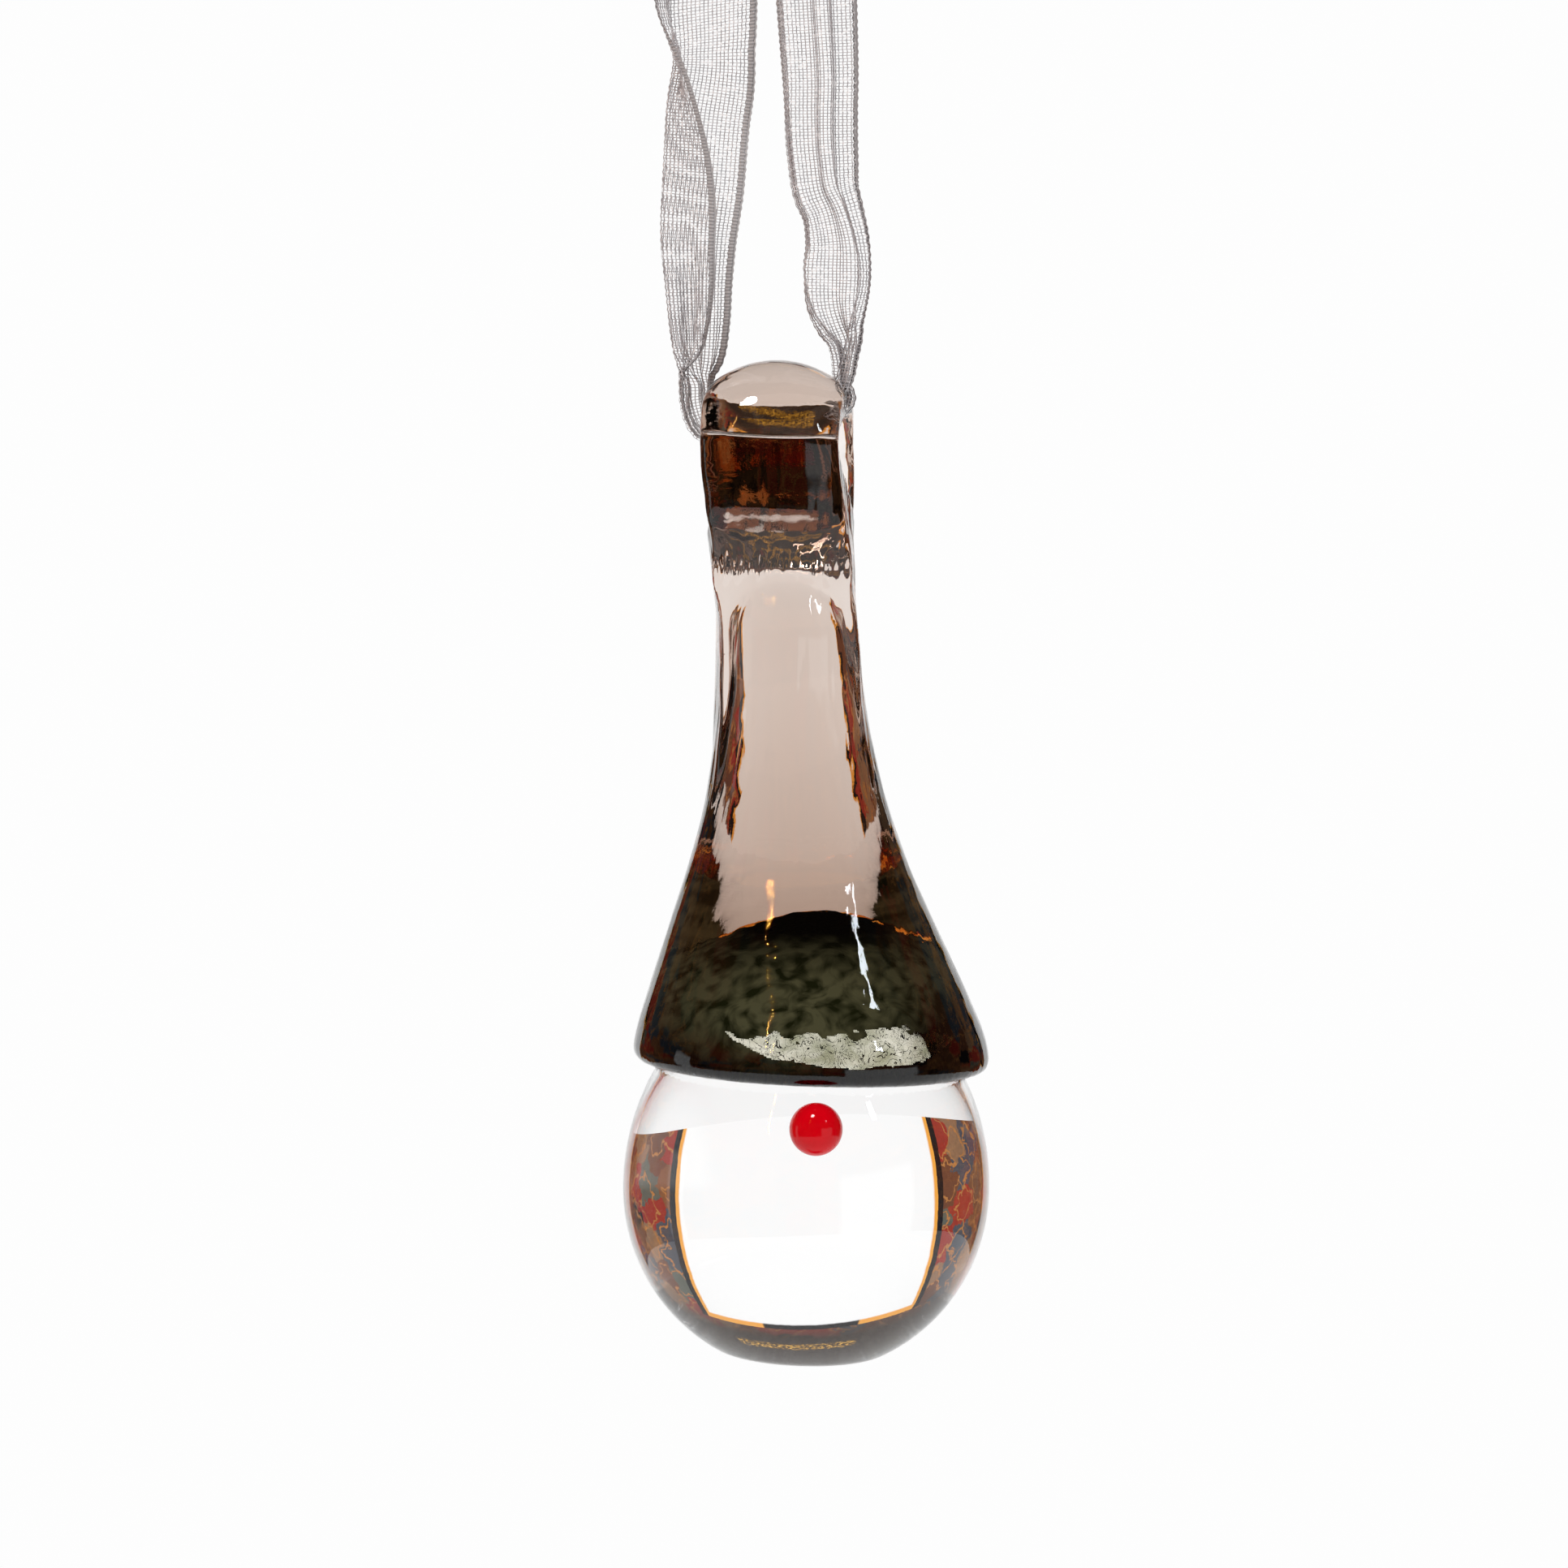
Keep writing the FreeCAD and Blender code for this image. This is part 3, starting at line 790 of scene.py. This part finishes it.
def film(name, deep, light, curls):
    """Thin tinted film that light passes through, with pale curls in it, wider the higher curls is."""
    material, tree = node_tree(name)
    place = add(tree, "ShaderNodeTexCoord").outputs["Object"]
    cloud = add(tree, "ShaderNodeTexNoise", {"Vector": place, "Scale": 420.0, "Detail": 4, "Distortion": 1.2})
    shade = ramp_of(tree, cloud.outputs[0], [(0.35, deep), (0.68, light)])
    through = add(tree, "ShaderNodeBsdfTransparent", {"Color": shade})
    pale = add(tree, "ShaderNodeBsdfDiffuse", {"Color": (0.8, 0.85, 0.72, 1)})
    waves = add(tree, "ShaderNodeTexNoise", {"Vector": place, "Scale": 800.0, "Detail": 2, "Distortion": 3.0})
    off = math_node(tree, "ABSOLUTE", math_node(tree, "SUBTRACT", waves.outputs[0], 0.5))
    curl = math_node(tree, "LESS_THAN", off, 0.05 * curls)
    mixed = add(tree, "ShaderNodeMixShader", {0: curl, 1: through.outputs[0], 2: pale.outputs[0]})
    add(tree, "ShaderNodeOutputMaterial", {"Surface": mixed.outputs[0]})
    return material


def red_glass():
    """Opaque red glass, faintly clouded, under a clear gloss."""
    material, tree = node_tree("RedGlass")
    place = add(tree, "ShaderNodeTexCoord").outputs["Object"]
    cloud = add(tree, "ShaderNodeTexNoise", {"Vector": place, "Scale": 900, "Detail": 2})
    tint = ramp_of(tree, cloud.outputs[0], [(0.0, (0.72, 0.0, 0.006)), (1.0, (0.92, 0.0, 0.010))])
    surface = add(tree, "ShaderNodeBsdfPrincipled", {
        "Base Color": tint, "Roughness": 0.08, "IOR": 1.45, "Specular IOR Level": 0.3})
    add(tree, "ShaderNodeOutputMaterial", {"Surface": surface.outputs[0]})
    return material


WARP_HALF, WEFT_HALF = 0.14, 0.12
# Cell sizes of the organza's random greys and painted glints.
PAINTED_GLINT_WIDTH, PAINTED_GLINT_LENGTH = 0.33, 0.22


def organza(name, fullness=1.0):
    """Sheer woven cloth: grey threads with gaps between them, closing up where it is seen edge on.

    Fullness is how many times wider than single cloth's the threads are.
    """
    material, tree = node_tree(name)
    place = add(tree, "ShaderNodeUVMap", uv_map="UVMap").outputs[0]
    across, along, _ = add(tree, "ShaderNodeSeparateXYZ", {"Vector": place}).outputs
    facing = add(tree, "ShaderNodeLayerWeight", {"Blend": 0.5}).outputs["Facing"]
    square_on = math_node(tree, "MAXIMUM", math_node(tree, "SUBTRACT", 1.0, facing), 0.12)

    def threads(position, pitch, share):
        """1 on the threads that lie across this direction."""
        cell = math_node(tree, "FRACT", math_node(tree, "DIVIDE", position, pitch))
        off = math_node(tree, "ABSOLUTE", math_node(tree, "SUBTRACT", cell, 0.5))
        edge = math_node(tree, "SUBTRACT", share, off)
        return math_node(tree, "DIVIDE", edge, 0.03, clamp=True)

    share = math_node(tree, "MINIMUM", math_node(tree, "DIVIDE", WARP_HALF * fullness, square_on), 0.5)
    warp = threads(across, THREAD_PITCH, share)
    weft = threads(along, WEFT_PITCH, WEFT_HALF * fullness)
    lines = math_node(tree, "MAXIMUM", warp, weft)
    from_middle = math_node(tree, "ABSOLUTE", math_node(tree, "SUBTRACT", across, WIDTH / 2))
    edge = math_node(tree, "GREATER_THAN", from_middle, WIDTH / 2 - SELVEDGE)
    cover = math_node(tree, "MAXIMUM", lines, math_node(tree, "MULTIPLY", edge, 0.9))

    # Each crossing of threads has its own grey, partly random tone and partly painted glints: the brightest
    # cells stand in for the sparkle of the shiny threads.
    column = math_node(tree, "FLOOR", math_node(tree, "DIVIDE", across, PAINTED_GLINT_WIDTH))
    row = math_node(tree, "FLOOR", math_node(tree, "DIVIDE", along, PAINTED_GLINT_LENGTH))
    cells = add(tree, "ShaderNodeCombineXYZ", {"X": column, "Y": row})
    painted_glint = add(tree, "ShaderNodeTexWhiteNoise", {"Vector": cells.outputs[0]}, noise_dimensions="3D")
    # The near-white top of this ramp is painted glint; the rest is the threads' random grey.
    shade = ramp_of(tree, painted_glint.outputs["Value"], [
        (0.0, (0.42, 0.42, 0.44)), (0.78, (0.64, 0.64, 0.66)), (1.0, (0.95, 0.95, 0.96))])
    grey = colour_mix(tree, edge, shade, (0.45, 0.45, 0.46))
    thread = add(tree, "ShaderNodeBsdfPrincipled", {
        "Base Color": grey, "Roughness": 0.35, "Specular IOR Level": 0.6})
    clear = add(tree, "ShaderNodeBsdfTransparent")
    mixed = add(tree, "ShaderNodeMixShader", {0: cover, 1: clear.outputs[0], 2: thread.outputs[0]})
    add(tree, "ShaderNodeOutputMaterial", {"Surface": mixed.outputs[0]})
    return material


def selvedge_cloth():
    """The ribbon's dense woven edge, ribbed by the weft."""
    rib_pitch = 0.25
    material, tree = node_tree("Selvedge")
    place = add(tree, "ShaderNodeUVMap", uv_map="UVMap").outputs[0]
    rows = add(tree, "ShaderNodeSeparateXYZ", {"Vector": place}).outputs[1]
    wave = math_node(tree, "SINE", math_node(tree, "MULTIPLY", rows, 2 * math.pi / rib_pitch))
    shade = ramp_of(tree, math_node(tree, "MULTIPLY_ADD", wave, 0.5, 0.5),
                    [(0.0, (0.3, 0.3, 0.31)), (1.0, (0.6, 0.6, 0.61))])
    thread = add(tree, "ShaderNodeBsdfPrincipled", {"Base Color": shade, "Roughness": 0.4})
    add(tree, "ShaderNodeOutputMaterial", {"Surface": thread.outputs[0]})
    return material


# ------------------------------------------------------------------ stage
FLOOR_HEIGHT, FLOOR_RADIUS = -300.0, 450.0


def studio_world():
    """White sweep behind and below, dim warm room at the sides, dark ceiling. The lens sees plain white."""
    world = bpy.data.worlds.new("Studio")
    bpy.context.scene.world = world
    world.use_nodes = True
    tree = world.node_tree
    tree.nodes.clear()
    # Azimuth from straight behind, towards the right, and height over the horizon, both in degrees.
    way = add(tree, "ShaderNodeTexCoord").outputs["Generated"]
    east, north, up = add(tree, "ShaderNodeSeparateXYZ", {"Vector": way}).outputs
    azimuth = math_node(tree, "MULTIPLY", math_node(tree, "ARCTAN2", east, north), 180 / math.pi)
    height = math_node(tree, "MULTIPLY", math_node(tree, "ARCSINE", up), 180 / math.pi)

    def window(centre, half, low, high, soft=0.6):
        """1 in a window round an azimuth and between two heights, 0 outside, with soft edges."""
        off = math_node(tree, "ABSOLUTE", math_node(tree, "SUBTRACT", azimuth, centre))
        round_back = math_node(tree, "ABSOLUTE", math_node(tree, "SUBTRACT", off, 360))
        off = math_node(tree, "MINIMUM", off, round_back)
        side = math_node(tree, "DIVIDE", math_node(tree, "SUBTRACT", half, off), soft, clamp=True)
        over = math_node(tree, "DIVIDE", math_node(tree, "SUBTRACT", height, low), soft, clamp=True)
        under = math_node(tree, "DIVIDE", math_node(tree, "SUBTRACT", high, height), soft, clamp=True)
        return math_node(tree, "MULTIPLY", side, math_node(tree, "MULTIPLY", over, under))

    # The room: ragged blocks of brown, brick red, slate and tan, with orange rims.
    block_width, block_height = 12, 9
    place = add(tree, "ShaderNodeCombineXYZ", {"X": math_node(tree, "DIVIDE", azimuth, block_width),
                                               "Y": math_node(tree, "DIVIDE", height, block_height)})
    ragged = add(tree, "ShaderNodeTexNoise", {"Vector": place.outputs[0], "Scale": 2.6, "Detail": 4})
    shift = add(tree, "ShaderNodeVectorMath", {0: ragged.outputs["Color"], 1: (0.9, 0.6, 0)},
                operation="MULTIPLY")
    moved = add(tree, "ShaderNodeVectorMath", {0: place.outputs[0], 1: shift.outputs[0]}, operation="ADD")
    blocks = add(tree, "ShaderNodeTexVoronoi", {"Vector": moved.outputs[0], "Scale": 1.0, "Randomness": 0.8},
                 voronoi_dimensions="2D", distance="MANHATTAN")
    value = add(tree, "ShaderNodeSeparateXYZ", {"Vector": blocks.outputs["Color"]}).outputs[0]
    room = ramp_of(tree, value, [
        (0.0, (0.30, 0.12, 0.055)), (0.22, (0.20, 0.075, 0.04)), (0.42, (0.42, 0.045, 0.03)),
        (0.56, (0.085, 0.10, 0.125)), (0.70, (0.36, 0.20, 0.11)), (0.82, (0.02, 0.016, 0.018)),
        (0.93, (0.14, 0.15, 0.12))], "CONSTANT")
    from_rim = math_node(tree, "ABSOLUTE", math_node(tree, "SUBTRACT", blocks.outputs["Distance"], 0.55))
    room = colour_mix(tree, math_node(tree, "LESS_THAN", from_rim, 0.04), room, (0.62, 0.26, 0.08))
    streaks = add(tree, "ShaderNodeTexNoise", {"Vector": place.outputs[0], "Scale": 9.0, "Detail": 3})
    streak = streaks.outputs[0]
    room = colour_mix(tree, math_node(tree, "MULTIPLY", streak, 0.45), room, (0.03, 0.02, 0.018))

    # Above it a dark ceiling.
    ceiling_from, ceiling_over = 22, 12
    ceiling = ramp_of(tree, streak, [(0.0, (0.012, 0.010, 0.010)), (1.0, (0.075, 0.05, 0.035))])
    above = math_node(tree, "DIVIDE", math_node(tree, "SUBTRACT", height, ceiling_from), ceiling_over,
                      clamp=True)
    dark = colour_mix(tree, above, room, ceiling)

    # The white sweep behind has a warm rim at its sides and its top, but not over its middle. Outside it at
    # the sides there is a black one.
    sweep_half, sweep_top, warm_half, black_half, rim_top = 32.4, 27.0, 33.6, 36.0, 28.8
    aside = math_node(tree, "ABSOLUTE", azimuth)
    level = math_node(tree, "LESS_THAN", math_node(tree, "ABSOLUTE", height), rim_top)
    black = math_node(tree, "MULTIPLY", math_node(tree, "LESS_THAN", aside, black_half), level)
    dark = colour_mix(tree, black, dark, (0.012, 0.010, 0.012))
    warm = math_node(tree, "MULTIPLY", math_node(tree, "LESS_THAN", aside, warm_half), level)
    warm = math_node(tree, "MULTIPLY", warm, math_node(tree, "SUBTRACT", 1.0, window(0, 14, 20, 90)))
    dark = colour_mix(tree, warm, dark, (0.95, 0.42, 0.07))

    # A gilt strip above the sweep.
    gilt = ramp_of(tree, streak, [
        (0.0, (0.02, 0.012, 0.008)), (0.46, (0.06, 0.03, 0.01)), (0.60, (0.70, 0.38, 0.06)),
        (1.0, (2.4, 1.5, 0.3))])
    dark = colour_mix(tree, window(6, 22, 36.8, 42.0, 1.5), dark, gilt)

    # White: the sweep, the table all round below, a window at the left and a wider one in front at the right.
    # All reach past straight down, so that no soft edge shows there.
    down = -95
    table = window(0, 181, down, -23.5, 2.0)
    left, right = window(-90, 8, down, 12, 2.0), window(135, 26, down, 8, 3.0)
    white = window(0, sweep_half, down, sweep_top)
    for more in (table, left, right):
        white = math_node(tree, "MAXIMUM", white, more)
    scene_light = colour_mix(tree, white, dark, (1.04, 1.04, 1.04))
    straight = add(tree, "ShaderNodeLightPath").outputs["Is Camera Ray"]
    seen = colour_mix(tree, straight, scene_light, (0.985, 0.985, 0.985))
    light = add(tree, "ShaderNodeBackground", {"Color": seen, "Strength": 1.0})
    add(tree, "ShaderNodeOutputWorld", {"Surface": light.outputs[0]})


def lamps():
    """Small round lamp high in front for the glints, thin warm one at the left, pale one at the right.

    Their azimuths count from the front, towards the right.
    """
    middle, distance = Vector((0, 0, -0.1)), 0.65
    for name, shape, size, tall, energy, colour, azimuth, height in (
        ("KeyLamp", "DISK", 0.15, 0.15, 2.4, (1.0, 1.0, 1.0), -22, 62),
        ("WarmStrip", "RECTANGLE", 0.0012, 0.22, 0.20, (1.0, 0.42, 0.08), -26, 36),
        ("PaleStrip", "RECTANGLE", 0.035, 0.10, 0.25, (0.85, 0.92, 1.0), 50, 31),
    ):
        data = bpy.data.lights.new(name, "AREA")
        data.shape = shape
        data.size = size
        if shape == "RECTANGLE":
            data.size_y = tall
        data.energy = energy
        data.color = colour
        obj = bpy.data.objects.new(name, data)
        bpy.context.scene.collection.objects.link(obj)
        turn, rise = math.radians(azimuth), math.radians(height)
        way = Vector((math.sin(turn) * math.cos(rise), -math.cos(turn) * math.cos(rise), math.sin(rise)))
        obj.location = middle + distance * way
        obj.rotation_euler = (middle - obj.location).to_track_quat("-Z", "Y").to_euler()


def make_floor():
    """Round pale floor far below the ornament, as bright as the sweep behind it."""
    turn = np.linspace(0, 2 * math.pi, 96, endpoint=False)
    rim = np.column_stack([FLOOR_RADIUS * np.sin(turn), FLOOR_RADIUS * np.cos(turn),
                           np.full_like(turn, FLOOR_HEIGHT)])
    verts = np.concatenate([rim, [[0, 0, FLOOR_HEIGHT]]])
    faces = [(len(rim), (i + 1) % len(rim), i) for i in range(len(rim))]
    floor = make_object("Floor", verts, faces)
    material, tree = node_tree("PaleFloor")
    paint = add(tree, "ShaderNodeBsdfDiffuse", {"Color": (0.05, 0.05, 0.05, 1)})
    shine = add(tree, "ShaderNodeEmission", {"Color": (0.97, 0.97, 0.97, 1), "Strength": 1.0})
    both = add(tree, "ShaderNodeAddShader", {0: paint.outputs[0], 1: shine.outputs[0]})
    add(tree, "ShaderNodeOutputMaterial", {"Surface": both.outputs[0]})
    floor.data.materials.append(material)


def photo_camera():
    """The camera: a little above the ornament, rolled slightly, close to square on."""
    distance, elevation, roll = 0.45, math.radians(5.0), math.radians(-2.1)
    picture_width, sensor_width = 0.1166, 36
    aim = Vector((HEAD_AT[0] - 0.49, 0, HEAD_AT[2] + 31.06)) * MM
    data = bpy.data.cameras.new("Camera")
    data.sensor_width = sensor_width
    data.lens = sensor_width * distance / picture_width
    obj = bpy.data.objects.new("Camera", data)
    bpy.context.scene.collection.objects.link(obj)
    back = Vector((0, -math.cos(elevation), math.sin(elevation)))
    obj.location = aim + back * distance
    facing = (-back).to_track_quat("-Z", "Y")
    obj.rotation_mode = "QUATERNION"
    obj.rotation_quaternion = facing @ Quaternion((0, 0, 1), roll)
    bpy.context.scene.camera = obj


# ------------------------------------------------------------------ assembly
CLEAR = glass_material("ClearGlass", (0.9, 0.93, 0.92, 1), 2.0, bump=0.0015)
SMOKE = glass_material("SmokedGlass", (0.55, 0.34, 0.20, 1), 96.0)

for maker, material, slot, node in (
    (make_head, CLEAR, "clear_glass", "clear_body"),
    (make_hat, SMOKE, "smoked_glass", "hat"),
    (make_nose, red_glass(), "red_glass", "nose"),
):
    piece = maker()
    piece.data.materials.append(material)
    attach(piece, "ornament")
    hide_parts(node)

PALE = film("PaleFilm", (0.38, 0.39, 0.27), (0.86, 0.86, 0.74), 0.30)
AMBER = film("AmberFilm", (0.9, 0.42, 0.10), (1.0, 0.75, 0.35), 0.0)
for piece, material in zip(make_skin(), (mottled_skin(), PALE, AMBER)):
    piece.data.materials.append(material)
    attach(piece, "ornament")

ORGANZA = organza("Organza")
BUNCHED = organza("BunchedOrganza", 3.0)
EDGE = selvedge_cloth()

# The ribbon and its edges keep their place with their transforms baked in, bound to no body. The sheet's flat
# length is that of its middle thread.
ribbon, cloth = make_ribbon()
edges = [selvedge("SelvedgeFront", cloth, 0), selvedge("SelvedgeBack", cloth, COLUMNS - 1)]
ribbon.data.materials.append(ORGANZA)
for edge in edges:
    edge.data.materials.append(EDGE)
for piece in [ribbon] + edges:
    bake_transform(piece)
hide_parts("ribbon_loop")

# The knot and both tails stay with the hanger.
knot = make_knot()
knot.data.materials.append(BUNCHED)
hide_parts("ribbon_knot")
ends = [knot]
for name, node, mirror in (("TailLeft", "ribbon_tail_left", 1), ("TailRight", "ribbon_tail_right", -1)):
    tail, cloth = make_tail(name, mirror)
    tail.data.materials.append(ORGANZA)
    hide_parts(node)
    ends.append(tail)
    for side, column in (("A", 0), ("B", COLUMNS - 1)):
        edge = selvedge(name + "Edge" + side, cloth, column)
        edge.data.materials.append(EDGE)
        ends.append(edge)
for piece in ends:
    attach(piece, "hanger")

studio_world()
lamps()
make_floor()
photo_camera()
bpy.context.scene.view_settings.view_transform = "Standard"
